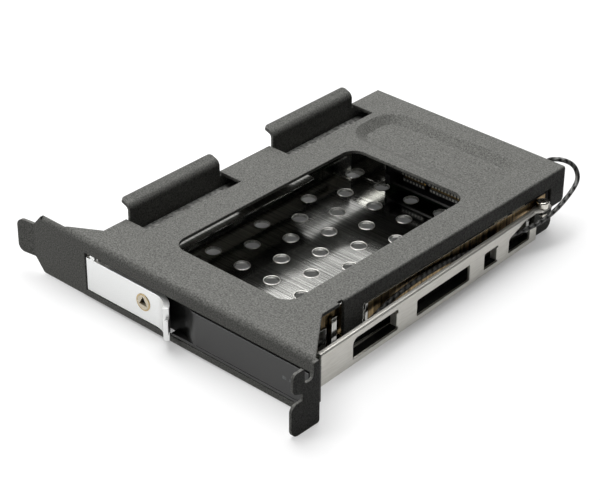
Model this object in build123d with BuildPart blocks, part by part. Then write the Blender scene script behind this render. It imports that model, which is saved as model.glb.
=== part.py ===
"""Drive rack that fills one expansion slot and holds one small hard drive.

Axes: +X runs along the slot bracket from its tongue to its screw tab, +Y runs from
the bracket's outer face towards the rear, and +Z points up. The origin is the middle
of the tongue's tip, in the plane of the bracket's outer face. Depths below the top
panel are written as TOP minus a length.
"""
import os
from math import atan2, cos, pi, radians, sin, tan

from build123d import *

os.makedirs("parts", exist_ok=True)

# Black steel sheet and the slot bracket's outline
SHEET = 1.0
BEND = 1.8
SIDE_BEND = 0.7
BRACKET_LENGTH = 120.02
FLANGE_HEIGHT = 19.6
TONGUE_WIDTH = 11.2
TONGUE_LENGTH = 6.6
TONGUE_TILT = 8.0
TONGUE_CORNER = 2.4
SHOULDER_LENGTH = 3.6
OPENING_LEFT = 28.9
OPENING_RIGHT = BRACKET_LENGTH - 2.72
OPENING_DROP = 4.85
OPENING_HEIGHT = 12.85
TOP = FLANGE_HEIGHT / 2
TAB_FACE = BRACKET_LENGTH - SHEET

# Screw tab, measured outwards from the bracket and down from the top
TAB_REACH = 10.0
TAB_LENGTH = 20.3
FINGER_REACH = 9.4
FINGER_FOOT = 6.1
HOOK_NEAR = 1.3
HOOK_FAR = 5.0
HOOK_DEPTH = 4.9
NOTCH_FLOOR = 5.5
NOTCH_TOP = 7.7
NOTCH_FOOT = 9.9

# Top panel
PANEL_LEFT = 29.9
PANEL_RIGHT = BRACKET_LENGTH - 14.02
PANEL_DEPTH = 130.3
CORNER_LEFT_X = 18.0
CORNER_LEFT_Y = 7.0
CORNER_RIGHT_X = TAB_FACE - 0.62
CORNER_RIGHT_Y = 17.4
DISH_LEFT = 41.7
DISH_WIDTH = PANEL_RIGHT - DISH_LEFT - 7.9
DISH_DEPTH = 22.6
DISH_FRONT = PANEL_DEPTH - DISH_DEPTH - 7.7
DISH_DROP = 2.0
DISH_CORNER = 8.5
DISH_SLOPE = 60.0
WINDOW_LEFT = 50.0
WINDOW_WIDTH = PANEL_RIGHT - WINDOW_LEFT - 10.4
WINDOW_FRONT = 15.0
WINDOW_DEPTH = DISH_FRONT - WINDOW_FRONT - 5.4
WINDOW_CORNER = 5.0

# Side walls of the top panel, and the wings cut out of it
LEFT_WALL_DROP = 12.0
LEFT_WALL_FRONT = 12.0
LEFT_WALL_REAR = PANEL_DEPTH - 10.3
WING_LENGTH = 39.2
WING_FRONTS = (16.0, LEFT_WALL_REAR - WING_LENGTH - 3.2)
WING_CUT = 9.3
WING_CUT_CORNER = 1.6
WING_RELIEF = 0.8
WING_RISE = 3.8
WING_FLARE_OUT = 3.7
WING_FLARE_UP = 1.3
WING_BEND = 1.8
WING_CORNER = 1.3
WALL_RIVET_YS = (14.0, (WING_FRONTS[0] + WING_LENGTH + WING_FRONTS[1]) / 2, LEFT_WALL_REAR - 8.0)
WALL_RIVET_RISE = 2.6
WALL_RIVET_RADIUS = 1.6
WALL_RIVET_HEAD = 0.6
RIGHT_WALL_FRONT = 26.6
RIGHT_RELIEF = 2.0
RIGHT_WALL_STEP = 34.8
RIGHT_WALL_DROP = 12.0
RIGHT_STRIP_DROP = 4.8
CUTOUT_REAR = PANEL_DEPTH - 6.8
CUTOUT_DROP = 9.4
HEEL_FRONT = PANEL_DEPTH - 14.7
HEEL_DROP = 19.2
HEEL_CORNER = 2.5
LUG_LENGTH = 4.6
LUG_REACH = 3.6

# Bright steel cage
CAGE_SHEET = 0.8
CAGE_FRONT = 9.0
CAGE_REAR = PANEL_DEPTH - 7.1
FLOOR_DROP = 17.5
CAGE_LEFT_TOP = 5.9
CAGE_LIP = 7.6
CAGE_RIGHT_TOP = 6.4
CAGE_RIGHT_START = 37.0
CAGE_RIGHT_LOW = 13.0
CAGE_LIP_RIGHT = 1.0
FRONT_LEAF_START = 11.0
FRONT_LEAF_LENGTH = 9.4
FRONT_POST_Y = 22.6
FRONT_POST_WIDTH = 2.2
FRONT_POST_TOP = 4.6
BACK_TAB_LEFT = 39.4
BACK_TAB_WIDTH = 14.6
BACK_TAB_TOP = 6.8
HOLE_DIAMETER = 4.7
HOLE_COLUMNS = 5
HOLE_ROWS = 5
HOLE_FIRST_X = 41.1
HOLE_FIRST_Y = 19.1
HOLE_MARGIN_X = 9.13
HOLE_MARGIN_Y = 17.7
CAGE_LEFT = PANEL_LEFT + SHEET
CAGE_RIGHT = PANEL_RIGHT - SHEET
HOLE_PITCH_X = (CAGE_RIGHT - HOLE_MARGIN_X - HOLE_FIRST_X) / (HOLE_COLUMNS - 0.5)
HOLE_PITCH_Y = (CAGE_REAR - HOLE_MARGIN_Y - HOLE_FIRST_Y) / (HOLE_ROWS - 1)

# Bright side rail, which runs inwards to the rear
RAIL_SHEET = 0.8
RAIL_FRONT_X = PANEL_RIGHT + 4.75
RAIL_FRONT_Y = 12.0
RAIL_REAR_X = PANEL_RIGHT + 1.3
RAIL_REAR_Y = PANEL_DEPTH - 15.1
RAIL_TOP = 8.6
RAIL_FOOT = FLOOR_DROP + CAGE_SHEET + RAIL_SHEET
RAIL_LIP = 1.6
RAIL_BASE_FRONT = 10.2
RAIL_BASE_REAR = 6.6
RAIL_OPENING_CORNER = 0.5
RAIL_OPENING_FOOT = 17.5
FIRST_OPENING = (13.8, 34.2, 10.6)
LONG_OPENING = (43.0, 68.6, 12.0)
SMALL_OPENING = (75.9, 82.9, 11.8)
LEAD_OPENING = (88.6, 99.8, 12.4)
LEAD_OPENING_SLOPE = 8.6
LEAD_OPENING_RISE = 9.7
LEAD_OPENING_SILL = 13.2
SPRING_TAB_REACH = 2.3
SPRING_TAB_SHEET = 0.6
SPRING_TAB_HEIGHT = 4.4
RAIL_RIVETS_ALONG = (18.0, 56.0, 88.0)
RAIL_RIVET_RADIUS = 1.4
RAIL_RIVET_HEAD = 0.4
RAIL_RIVET_INSET = 1.8
EAR_LENGTH = 5.6
EAR_LEFT = PANEL_RIGHT - 1.1
EAR_RIGHT = PANEL_RIGHT + 2.9
EAR_SCREW_X = PANEL_RIGHT + 1.2
EAR_SCREW_Y = PANEL_DEPTH - 12.4
EAR_SHANK = 1.4
EAR_HEAD = 4.0
EAR_HEAD_HEIGHT = 2.1
EAR_CROSS = 2.2
EAR_CROSS_WIDTH = 0.5
NUT_RADIUS = 1.3
NUT_HEIGHT = 1.2

# Hinge at the left end of the opening
HINGE_X = 33.6
HINGE_Y = 2.75
PIN_DIAMETER = 1.6
PIN_CLEARANCE = 0.03
KNUCKLE_RADIUS = 1.45
KNUCKLE_RELIEF = 0.25
EAR_PLATE = 0.9
HINGE_GAP = 0.4
BRACKET_BACK = 27.6
HINGE_EAR_REACH = 2.3

# Door
DOOR_GAP = 0.4
DOOR_DROP = 5.6
DOOR_HEIGHT = 11.7
DOOR_RIGHT = OPENING_RIGHT - DOOR_GAP
DOOR_BACK = 5.0
POCKET_FLOOR = 2.3
POCKET_DEPTH = 2.0
CURVE_START = 66.2
CURVE_END = 74.4
SHELF_LEFT = 64.6
SHELF_HEIGHT = 0.85
HOLLOW_DEPTH = 3.0
HOLLOW_WALL = 1.5
POCKET_LEFT = 50.4
POCKET_WIDTH = 11.0
POCKET_HEIGHT = 8.3
GUIDE_XS = (OPENING_RIGHT - 9.3, OPENING_RIGHT - 6.8)
GUIDE_TAIL = 1.0
GUIDE_DROP = 11.2
GUIDE_WIDTH = 1.4
GUIDE_HEIGHT = 0.9

# Release lever
LEVER_LEFT = 29.3
LEVER_DROP = 6.2
LEVER_HEIGHT = 10.9
LEVER_CORNER = 0.3
LEVER_THICKNESS = 1.8
FLARE_START = 58.3
FLARE_RADIUS = 8.1
FLARE_ANGLE = 57.0
LUG_DROPS = (8.6, 12.6)
LUG_HEIGHT = 2.0
LUG_CLEARANCE = 0.3
CATCH_HEIGHT = 4.6
CATCH_REACH = 1.5

# Lock
LOCK_X = 53.3
LOCK_DROP = 11.2
LOCK_DIAMETER = 4.6
RING_DIAMETER = 5.5
RING_PROUD = 0.15
RING_SEAT = 0.5
LOCK_CLEARANCE = 0.04
KEYWAY_SIDE = 3.3
KEYWAY_DEPTH = 1.6
CAM_THICKNESS = 0.8
CAM_WIDTH = 3.6
CAM_REACH = 7.2
CAM_GAP = 0.4
CAM_SCREW_HEAD = 0.9

# Spring catch on the door's back
CATCH_CLIP_LEFT = OPENING_RIGHT - 13.3
CATCH_CLIP_LENGTH = 12.4
CATCH_CLIP_HEIGHT = 3.6
CATCH_CLIP_DROP = 13.0
CATCH_CLIP_SHEET = 0.5
CATCH_CLIP_BUMP = 0.8

# Cream clips at the right wall
CLIP_YS = (PANEL_DEPTH - 32.1, PANEL_DEPTH - 23.3)
CLIP_LENGTH = 4.4
CLIP_TOP = 4.6
CLIP_FOOT = 9.6
CLIP_WIDTH = 1.4

# Ejector slide on the left wall
SLIDE_THICKNESS = 1.0
SLIDE_FRONT = 19.5
SLIDE_REAR = PANEL_DEPTH - 22.3
SLIDE_DROP = 8.0
SLIDE_HEIGHT = 5.0
SLIDE_GAP = 0.3
SLIDE_TRAVEL = 10.0
FOOT_REACH = 5.5
STUD_YS = (32.0, SLIDE_REAR - 16.0)
STUD_PLAY = 0.3
STUD_RADIUS = 1.2
STUD_HEAD_RADIUS = 2.1
STUD_HEAD = 0.4
STUD_CLEARANCE = 0.05

# Board, sockets and their contacts
BOARD_FRONT = PANEL_DEPTH - 18.3
BOARD_THICKNESS = 1.6
BOARD_LEFT = 36.0
BOARD_RIGHT = PANEL_RIGHT - 3.6
BOARD_TOP = 6.6
BOARD_SCREW_INSET = 2.4
BOARD_SCREW_RISE = 3.2
BOARD_SCREW_RADIUS = 1.6
BOARD_SCREW_HEAD = 0.9
CONTACT_PITCH = 1.27
CONTACT_WIDTH = 0.7
CONTACT_HEIGHT = 0.2
CONTACT_COUNTS = (7, 15)
CONTACT_GAP = 1.9
TONGUE_BOARD = 1.3
SOCKET_END = 5.6
SOCKET_RIGHT_GAP = 5.8
SOCKET_DROP = 9.0
SOCKET_HEIGHT = 5.6
SOCKET_DEPTH = 6.4
SOCKET_BACK = 1.2
SOCKET_WALL = 0.8
KEY_WIDTH = 2.0
KEY_HEIGHT = 3.0
KEY_LENGTH = 2.6
HOUSING_LEFT = 39.0
HOUSING_TOP = 5.4
HOUSING_DEPTH = 8.6
HOUSING_GAP = 0.2
PORT_DEPTH = 8.0
PORT_BACK = 1.5
PORT_END = 3.9
PORT_GAP = 4.0
PORT_LEFT = 42.6
PORT_HEIGHT = 5.4
PORT_DROP = 9.2
PORT_WALL = 1.0

# Lamps at the front and their lead
LAMP_BOARD_THICKNESS = 0.8
LAMP_BOARD_LEFT = CAGE_RIGHT
LAMP_BOARD_WIDTH = 4.6
LAMP_BOARD_TOP = 9.7
LAMP_XS = (PANEL_RIGHT - 0.1, PANEL_RIGHT + 2.2)
LAMP_RADIUS = 0.8
LAMP_LENGTH = 3.6
LEAD_DIAMETER = 1.5
PLUG_X = PANEL_RIGHT - 12.0
PLUG_DROP = 8.6
PLUG_WIDTH = 5.0
PLUG_HEIGHT = 4.2
PLUG_LENGTH = 3.6
PLUG_PLAY = 0.1
HEADER_DEPTH = 2.4
HEADER_BACK = 0.8
HEADER_WALL = 0.6

# Slot bracket and top panel, one folded sheet
with BuildPart() as slot_frame:
    with BuildSketch(Plane.XY.offset(-TOP)):
        with BuildLine():
            tilt = tan(radians(TONGUE_TILT)) * TONGUE_LENGTH
            Polyline(
                (0, -tilt),
                (TONGUE_LENGTH, 0),
                (TAB_FACE, 0),
                (TAB_FACE, SHEET),
                (TONGUE_LENGTH, SHEET),
                (0, SHEET - tilt),
                close=True,
            )
        make_face()
    extrude(amount=FLANGE_HEIGHT)
    with BuildSketch(Plane.XZ) as bracket_outline:
        with BuildLine():
            FilletPolyline(
                (0, -TONGUE_WIDTH / 2),
                (TONGUE_LENGTH, -TONGUE_WIDTH / 2),
                (TONGUE_LENGTH + SHOULDER_LENGTH, -TOP),
                (BRACKET_LENGTH, -TOP),
                (BRACKET_LENGTH, TOP),
                (TONGUE_LENGTH + SHOULDER_LENGTH, TOP),
                (TONGUE_LENGTH, TONGUE_WIDTH / 2),
                (0, TONGUE_WIDTH / 2),
                radius=[TONGUE_CORNER, 0.6, 1.2, 0, 0, 1.2, 0.6, TONGUE_CORNER],
                close=True,
            )
        make_face()
        with Locations(((OPENING_LEFT + OPENING_RIGHT) / 2, TOP - OPENING_DROP - OPENING_HEIGHT / 2)):
            Rectangle(OPENING_RIGHT - OPENING_LEFT, OPENING_HEIGHT, mode=Mode.SUBTRACT)
    extrude(amount=2 * SHEET, both=True, mode=Mode.INTERSECT)

    # Screw tab with its hook slot and its open screw notch
    with BuildSketch(Plane.YZ.offset(TAB_FACE)):
        with BuildLine():
            FilletPolyline(
                (SHEET, TOP),
                (-HOOK_NEAR, TOP),
                (-HOOK_NEAR, TOP - HOOK_DEPTH),
                (-HOOK_FAR, TOP - HOOK_DEPTH),
                (-HOOK_FAR, TOP),
                (-FINGER_REACH, TOP),
                (-FINGER_REACH, TOP - FINGER_FOOT),
                (-NOTCH_FLOOR, TOP - NOTCH_TOP),
                (-NOTCH_FLOOR, TOP - NOTCH_FOOT),
                (-TAB_REACH, TOP - NOTCH_FOOT),
                (-TAB_REACH, TOP - TAB_LENGTH),
                (SHEET, TOP - TAB_LENGTH),
                radius=[0.6, 0.4, 1.3, 1.0, 0.7, 1.6, 1.5, 0.3, 0.4, 2.2, 2.6, 0.8],
                close=True,
            )
        make_face()
    extrude(amount=SHEET)

    # Panel with its cut corners, window and two wing cut-outs
    with BuildSketch(Plane.XY.offset(TOP - SHEET)):
        with BuildLine():
            Polyline(
                (CORNER_LEFT_X, 0),
                (PANEL_LEFT, CORNER_LEFT_Y),
                (PANEL_LEFT, PANEL_DEPTH),
                (PANEL_RIGHT, PANEL_DEPTH),
                (PANEL_RIGHT, CORNER_RIGHT_Y),
                (CORNER_RIGHT_X, SHEET),
                (CORNER_RIGHT_X, 0),
                close=True,
            )
        make_face()
        with Locations((WINDOW_LEFT + WINDOW_WIDTH / 2, WINDOW_FRONT + WINDOW_DEPTH / 2)):
            RectangleRounded(WINDOW_WIDTH, WINDOW_DEPTH, WINDOW_CORNER, mode=Mode.SUBTRACT)
        for front in WING_FRONTS:
            with BuildLine():
                FilletPolyline(
                    (PANEL_LEFT, front),
                    (PANEL_LEFT + WING_CUT, front),
                    (PANEL_LEFT + WING_CUT, front + WING_LENGTH),
                    (PANEL_LEFT, front + WING_LENGTH),
                    radius=[0, WING_CUT_CORNER, 0.3, 0],
                    close=True,
                )
            make_face(mode=Mode.SUBTRACT)
        with Locations((PANEL_RIGHT - SHEET / 2, RIGHT_WALL_FRONT - RIGHT_RELIEF / 2)):
            Rectangle(SHEET, RIGHT_RELIEF, mode=Mode.SUBTRACT)
    extrude(amount=SHEET)

    # Pressed dish: its skin below the panel, then its hollow
    dish_middle = (DISH_LEFT + DISH_WIDTH / 2, DISH_FRONT + DISH_DEPTH / 2)
    with BuildSketch(Plane.XY.offset(TOP - SHEET)):
        with Locations(dish_middle):
            RectangleRounded(DISH_WIDTH, DISH_DEPTH, DISH_CORNER)
    extrude(amount=-DISH_DROP, taper=DISH_SLOPE)
    with BuildSketch(Plane.XY.offset(TOP)):
        with Locations(dish_middle):
            RectangleRounded(DISH_WIDTH, DISH_DEPTH, DISH_CORNER)
    extrude(amount=-DISH_DROP, taper=DISH_SLOPE, mode=Mode.SUBTRACT)

    # Left wall and the wings that stay in its plane
    with BuildSketch(Plane.YZ.offset(PANEL_LEFT)):
        with BuildLine():
            Polyline(
                (LEFT_WALL_FRONT, TOP - SHEET / 2),
                (LEFT_WALL_FRONT, TOP - LEFT_WALL_DROP),
                (LEFT_WALL_REAR, TOP - LEFT_WALL_DROP),
                (LEFT_WALL_REAR, TOP - SHEET / 2),
                close=True,
            )
        make_face()
        for front in WING_FRONTS:
            with Locations((front + WING_LENGTH / 2, TOP)):
                Rectangle(WING_LENGTH, 2 * SHEET, mode=Mode.SUBTRACT)
    extrude(amount=SHEET)
    for front in WING_FRONTS:
        with BuildSketch(Plane.XZ.offset(-(front + WING_RELIEF))):
            with BuildLine() as wing_line:
                FilletPolyline(
                    (PANEL_LEFT + SHEET / 2, TOP - 2 * SHEET),
                    (PANEL_LEFT + SHEET / 2, TOP + WING_RISE),
                    (PANEL_LEFT + SHEET / 2 - WING_FLARE_OUT, TOP + WING_RISE + WING_FLARE_UP),
                    radius=WING_BEND,
                )
            trace(wing_line.line, line_width=SHEET)
        extrude(amount=-(WING_LENGTH - 2 * WING_RELIEF))
    tip_edges = slot_frame.edges().filter_by(lambda edge: edge.center().Z > TOP + WING_RISE)
    fillet([edge for edge in tip_edges if abs(edge.length - SHEET) < 0.01], WING_CORNER)

    # Right wall: a front leaf, a narrow strip and a rear leaf with its heel
    with BuildSketch(Plane.YZ.offset(CAGE_RIGHT)):
        with BuildLine():
            FilletPolyline(
                (RIGHT_WALL_FRONT, TOP - SHEET / 2),
                (RIGHT_WALL_FRONT, TOP - RIGHT_WALL_DROP),
                (RIGHT_WALL_STEP, TOP - RIGHT_WALL_DROP),
                (RIGHT_WALL_STEP, TOP - RIGHT_STRIP_DROP),
                (CUTOUT_REAR, TOP - RIGHT_STRIP_DROP),
                (CUTOUT_REAR, TOP - CUTOUT_DROP),
                (HEEL_FRONT, TOP - CUTOUT_DROP),
                (HEEL_FRONT, TOP - HEEL_DROP),
                (CUTOUT_REAR + SHEET, TOP - HEEL_DROP),
                (CUTOUT_REAR + SHEET, TOP - RIGHT_WALL_DROP),
                (PANEL_DEPTH, TOP - RIGHT_WALL_DROP),
                (PANEL_DEPTH, TOP - SHEET / 2),
                radius=[0, 0.6, 0.6, 0.6, 0.6, 0.4, 0.4, 0.4, HEEL_CORNER, 0.6, 1.5, 0],
                close=True,
            )
        make_face()
    extrude(amount=SHEET)

    # Lug under the rail's ear, folded outwards from the right wall
    with BuildSketch(Plane.XY.offset(TOP - RAIL_TOP - RAIL_SHEET)):
        with Locations((CAGE_RIGHT + LUG_REACH / 2, HEEL_FRONT + LUG_LENGTH / 2)):
            Rectangle(LUG_REACH, LUG_LENGTH)
        with Locations((EAR_SCREW_X, EAR_SCREW_Y)):
            Circle(EAR_SHANK / 2 + PIN_CLEARANCE, mode=Mode.SUBTRACT)
    extrude(amount=-SHEET)

    # The folds' outer radii, planed off along the front and along the right wall
    fold_start = TONGUE_LENGTH + SHOULDER_LENGTH
    with BuildSketch(Plane.YZ.offset(fold_start)):
        with Locations((BEND / 2, TOP - BEND / 2)):
            Rectangle(BEND, BEND)
        with Locations((BEND, TOP - BEND)):
            Circle(BEND, mode=Mode.SUBTRACT)
    extrude(amount=TAB_FACE - fold_start, mode=Mode.SUBTRACT)
    with BuildSketch(Plane.XZ.offset(-RIGHT_WALL_FRONT)):
        with Locations((PANEL_RIGHT - SIDE_BEND / 2, TOP - SIDE_BEND / 2)):
            Rectangle(SIDE_BEND, SIDE_BEND)
        with Locations((PANEL_RIGHT - SIDE_BEND, TOP - SIDE_BEND)):
            Circle(SIDE_BEND, mode=Mode.SUBTRACT)
    extrude(amount=-(PANEL_DEPTH - RIGHT_WALL_FRONT), mode=Mode.SUBTRACT)
slot_frame.part.label = "slot_frame"
export_step(slot_frame.part, "parts/slot_frame.step")

# Bright cage: floor, left wall with its lip, and right wall with its lip and front post
floor_top = TOP - FLOOR_DROP
floor_foot = floor_top - CAGE_SHEET
cage_length = CAGE_REAR - CAGE_FRONT
with BuildPart() as drive_cage:
    with BuildSketch(Plane.XY.offset(floor_foot)):
        with Locations(((CAGE_LEFT + CAGE_RIGHT) / 2, (CAGE_FRONT + CAGE_REAR) / 2)):
            Rectangle(CAGE_RIGHT - CAGE_LEFT, cage_length)
        for column in range(HOLE_COLUMNS):
            for row in range(HOLE_ROWS):
                with Locations((HOLE_FIRST_X + column * HOLE_PITCH_X, HOLE_FIRST_Y + row * HOLE_PITCH_Y)):
                    Circle(HOLE_DIAMETER / 2, mode=Mode.SUBTRACT)
        for column in range(HOLE_COLUMNS):
            for row in range(HOLE_ROWS - 1):
                stagger_x = HOLE_FIRST_X + (column + 0.5) * HOLE_PITCH_X
                stagger_y = HOLE_FIRST_Y + (row + 0.5) * HOLE_PITCH_Y
                with Locations((stagger_x, stagger_y)):
                    Circle(HOLE_DIAMETER / 2, mode=Mode.SUBTRACT)
    extrude(amount=CAGE_SHEET)
    with BuildSketch(Plane.XZ.offset(-CAGE_FRONT)):
        with BuildLine():
            Polyline(
                (CAGE_LEFT, floor_foot),
                (CAGE_LEFT, TOP - CAGE_LEFT_TOP),
                (CAGE_LEFT + CAGE_LIP, TOP - CAGE_LEFT_TOP),
                (CAGE_LEFT + CAGE_LIP, TOP - CAGE_LEFT_TOP - CAGE_SHEET),
                (CAGE_LEFT + CAGE_SHEET, TOP - CAGE_LEFT_TOP - CAGE_SHEET),
                (CAGE_LEFT + CAGE_SHEET, floor_foot),
                close=True,
            )
        make_face()
    extrude(amount=-cage_length)
    with BuildSketch(Plane.YZ.offset(CAGE_RIGHT - CAGE_SHEET)):
        with BuildLine():
            Polyline(
                (CAGE_FRONT, floor_foot),
                (CAGE_FRONT, TOP - CAGE_RIGHT_LOW),
                (FRONT_LEAF_START, TOP - CAGE_RIGHT_LOW),
                (FRONT_LEAF_START, TOP - CAGE_RIGHT_TOP),
                (FRONT_LEAF_START + FRONT_LEAF_LENGTH, TOP - CAGE_RIGHT_TOP),
                (FRONT_LEAF_START + FRONT_LEAF_LENGTH, TOP - CAGE_RIGHT_LOW),
                (FRONT_POST_Y, TOP - CAGE_RIGHT_LOW),
                (FRONT_POST_Y, TOP - FRONT_POST_TOP),
                (FRONT_POST_Y + FRONT_POST_WIDTH, TOP - FRONT_POST_TOP),
                (FRONT_POST_Y + FRONT_POST_WIDTH, TOP - CAGE_RIGHT_LOW),
                (CAGE_RIGHT_START, TOP - CAGE_RIGHT_LOW),
                (CAGE_RIGHT_START, TOP - CAGE_RIGHT_TOP),
                (BOARD_FRONT + BOARD_THICKNESS, TOP - CAGE_RIGHT_TOP),
                (BOARD_FRONT + BOARD_THICKNESS, TOP - CAGE_RIGHT_LOW),
                (CAGE_REAR, TOP - CAGE_RIGHT_LOW),
                (CAGE_REAR, floor_foot),
                close=True,
            )
        make_face()
    extrude(amount=CAGE_SHEET)
    with BuildSketch(Plane.XY.offset(TOP - CAGE_RIGHT_TOP)):
        with Locations((CAGE_RIGHT - CAGE_LIP_RIGHT / 2, (CAGE_RIGHT_START + BOARD_FRONT) / 2)):
            Rectangle(CAGE_LIP_RIGHT, BOARD_FRONT - CAGE_RIGHT_START)
    extrude(amount=-CAGE_SHEET)
    # Tab folded up from the floor beside the socket
    with BuildSketch(Plane.XZ.offset(-(BOARD_FRONT - SOCKET_DEPTH + CAGE_SHEET))):
        with Locations((BACK_TAB_LEFT + BACK_TAB_WIDTH / 2, TOP - (BACK_TAB_TOP + FLOOR_DROP) / 2)):
            Rectangle(BACK_TAB_WIDTH, FLOOR_DROP - BACK_TAB_TOP)
    extrude(amount=-CAGE_SHEET)
drive_cage.part.label = "drive_cage"
export_step(drive_cage.part, "parts/drive_cage.step")

# Side rail: web with its openings, rolled top lip, base lip under the floor, rear ear
rail_turn = atan2(RAIL_FRONT_X - RAIL_REAR_X, RAIL_REAR_Y - RAIL_FRONT_Y)
rail_length = (RAIL_REAR_Y - RAIL_FRONT_Y) / cos(rail_turn)
rail_along = (-sin(rail_turn), cos(rail_turn), 0)
rail_out = (cos(rail_turn), sin(rail_turn), 0)
web_plane = Plane(origin=(RAIL_FRONT_X, RAIL_FRONT_Y, TOP), x_dir=rail_along, z_dir=rail_out)
lip_plane = Plane(origin=(RAIL_FRONT_X, RAIL_FRONT_Y, TOP - RAIL_TOP), x_dir=rail_along, z_dir=(0, 0, 1))
base_plane = Plane(origin=(RAIL_FRONT_X, RAIL_FRONT_Y, TOP - RAIL_FOOT), x_dir=rail_along, z_dir=(0, 0, 1))
with BuildPart() as side_rail:
    with BuildSketch(web_plane):
        with Locations((rail_length / 2, -(RAIL_TOP + RAIL_FOOT) / 2)):
            Rectangle(rail_length, RAIL_FOOT - RAIL_TOP)
        for start, end, drop in (LONG_OPENING, SMALL_OPENING):
            with Locations(((start + end) / 2, -(drop + RAIL_OPENING_FOOT) / 2)):
                RectangleRounded(end - start, RAIL_OPENING_FOOT - drop, RAIL_OPENING_CORNER, mode=Mode.SUBTRACT)
        with BuildLine():
            start, end, drop = FIRST_OPENING
            FilletPolyline(
                (start, -RAIL_OPENING_FOOT),
                (start, -drop),
                (end, -drop),
                (end, -RAIL_OPENING_FOOT),
                radius=[RAIL_OPENING_CORNER, 2.0, RAIL_OPENING_CORNER, RAIL_OPENING_CORNER],
                close=True,
            )
        make_face(mode=Mode.SUBTRACT)
        with BuildLine():
            start, end, drop = LEAD_OPENING
            FilletPolyline(
                (start, -RAIL_OPENING_FOOT),
                (start, -drop),
                (start + LEAD_OPENING_SLOPE, -LEAD_OPENING_RISE),
                (rail_length + 1, -LEAD_OPENING_RISE),
                (rail_length + 1, -LEAD_OPENING_SILL),
                (end, -LEAD_OPENING_SILL),
                (end, -RAIL_OPENING_FOOT),
                radius=[RAIL_OPENING_CORNER, 1.2, 1.2, 0, 0, 0.4, RAIL_OPENING_CORNER],
                close=True,
            )
        make_face(mode=Mode.SUBTRACT)
    extrude(amount=-RAIL_SHEET)
    with BuildSketch(lip_plane):
        with Locations((rail_length / 2, RAIL_LIP / 2)):
            Rectangle(rail_length, RAIL_LIP)
    extrude(amount=-RAIL_SHEET)
    with BuildSketch(base_plane):
        with BuildLine():
            Polyline(
                (0, 0),
                (0, RAIL_BASE_FRONT),
                (rail_length, RAIL_BASE_REAR),
                (rail_length, 0),
                close=True,
            )
        make_face()
    extrude(amount=RAIL_SHEET)
    # Spring tabs folded inwards at the rear edges of two openings
    for start, end, drop in (FIRST_OPENING, SMALL_OPENING):
        with BuildSketch(web_plane):
            with Locations((end - SPRING_TAB_SHEET / 2, -(drop + RAIL_OPENING_FOOT) / 2)):
                Rectangle(SPRING_TAB_SHEET + 0.2, SPRING_TAB_HEIGHT)
        extrude(amount=-SPRING_TAB_REACH)
    rail_edges = side_rail.edges().filter_by_position(Axis.Z, TOP - RAIL_TOP - 0.01, TOP - RAIL_TOP + 0.01)
    rolled = rail_edges.filter_by(lambda edge: edge.length > rail_length - 1).sort_by(Axis.X)[-1]
    fillet(rolled, RAIL_SHEET * 0.9)
    with BuildSketch(Plane.XY.offset(TOP - RAIL_TOP)):
        with BuildLine():
            FilletPolyline(
                (RAIL_REAR_X - RAIL_LIP, RAIL_REAR_Y - 1.5),
                (RAIL_REAR_X, RAIL_REAR_Y - 1.5),
                (EAR_RIGHT, RAIL_REAR_Y + 0.9),
                (EAR_RIGHT, RAIL_REAR_Y + EAR_LENGTH),
                (EAR_LEFT, RAIL_REAR_Y + EAR_LENGTH),
                (EAR_LEFT, RAIL_REAR_Y + 0.9),
                radius=[0, 0.5, 0.5, 1.2, 0.8, 0.4],
                close=True,
            )
        make_face()
        with Locations((EAR_SCREW_X, EAR_SCREW_Y)):
            Circle(EAR_SHANK / 2 + PIN_CLEARANCE, mode=Mode.SUBTRACT)
    extrude(amount=-RAIL_SHEET)
side_rail.part.label = "side_rail"
export_step(side_rail.part, "parts/side_rail.step")

# Screw that stands on the rail's ear, with its nut below the lug
ear_level = TOP - RAIL_TOP
with BuildPart() as rail_screw:
    with BuildSketch(Plane.XY.offset(ear_level)):
        with Locations((EAR_SCREW_X, EAR_SCREW_Y)):
            Circle(EAR_HEAD / 2)
    extrude(amount=EAR_HEAD_HEIGHT)
    fillet(rail_screw.edges().sort_by(Axis.Z)[-1], 0.5)
    with BuildSketch(Plane.XY.offset(ear_level + EAR_HEAD_HEIGHT)):
        with Locations((EAR_SCREW_X, EAR_SCREW_Y)):
            Rectangle(EAR_CROSS, EAR_CROSS_WIDTH)
            Rectangle(EAR_CROSS_WIDTH, EAR_CROSS)
    extrude(amount=-0.8, mode=Mode.SUBTRACT)
    with BuildSketch(Plane.XY.offset(ear_level)):
        with Locations((EAR_SCREW_X, EAR_SCREW_Y)):
            Circle(EAR_SHANK / 2)
    extrude(amount=-RAIL_SHEET - SHEET)
rail_screw.part.label = "rail_screw"
export_step(rail_screw.part, "parts/rail_screw.step")

with BuildPart() as rail_nut:
    with BuildSketch(Plane.XY.offset(ear_level - RAIL_SHEET - SHEET)):
        with Locations((EAR_SCREW_X + 0.3, EAR_SCREW_Y)):
            RegularPolygon(NUT_RADIUS, 6)
    extrude(amount=-NUT_HEIGHT)
rail_nut.part.label = "rail_nut"
export_step(rail_nut.part, "parts/rail_nut.step")

# Rivets that hold the rail's base lip to the cage floor
with BuildPart() as rail_rivets:
    for along in RAIL_RIVETS_ALONG:
        inward = RAIL_BASE_FRONT - (RAIL_BASE_FRONT - RAIL_BASE_REAR) * along / rail_length - RAIL_RIVET_INSET
        spot = base_plane.from_local_coords(Vector(along, inward, 0))
        with BuildSketch(Plane(origin=(spot.X, spot.Y, floor_top))):
            Circle(RAIL_RIVET_RADIUS)
        extrude(amount=RAIL_RIVET_HEAD)
rail_rivets.part.label = "rail_rivets"
export_step(rail_rivets.part, "parts/rail_rivets.step")

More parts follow.
